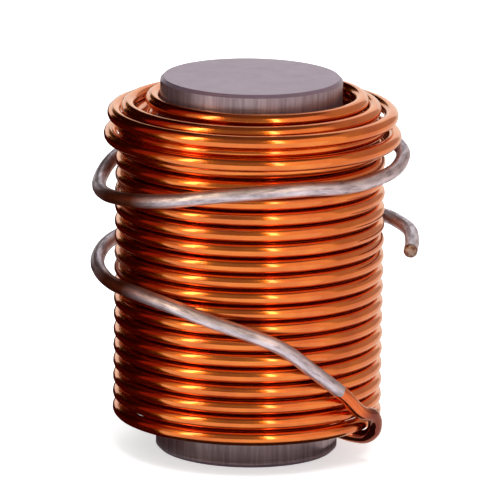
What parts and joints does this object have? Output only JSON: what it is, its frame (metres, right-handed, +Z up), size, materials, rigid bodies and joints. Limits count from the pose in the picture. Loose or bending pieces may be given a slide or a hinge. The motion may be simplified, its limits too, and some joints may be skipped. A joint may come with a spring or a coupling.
{
  "type": "iron core inductor",
  "caption": "Iron core inductor: enamelled copper wire wound in layers on a plain rod core, with both ends left as formed, tinned leads.",
  "frame": {"origin": "middle of the rod core's lower end face, which the part stands on", "axes": "+Z up along the core, -Y is the front, which the start lead crosses, and +X is the side that its free end stands out on"},
  "size_m": [0.0361, 0.0332, 0.0417],
  "materials": {
    "iron_powder": "matt pressed iron powder, grey",
    "enamelled_copper": "glossy clear amber enamel over copper, tinned on the leads"
  },
  "bodies": {
    "root": {"core": "iron_powder", "winding": "enamelled_copper"}
  },
  "joints": []
}
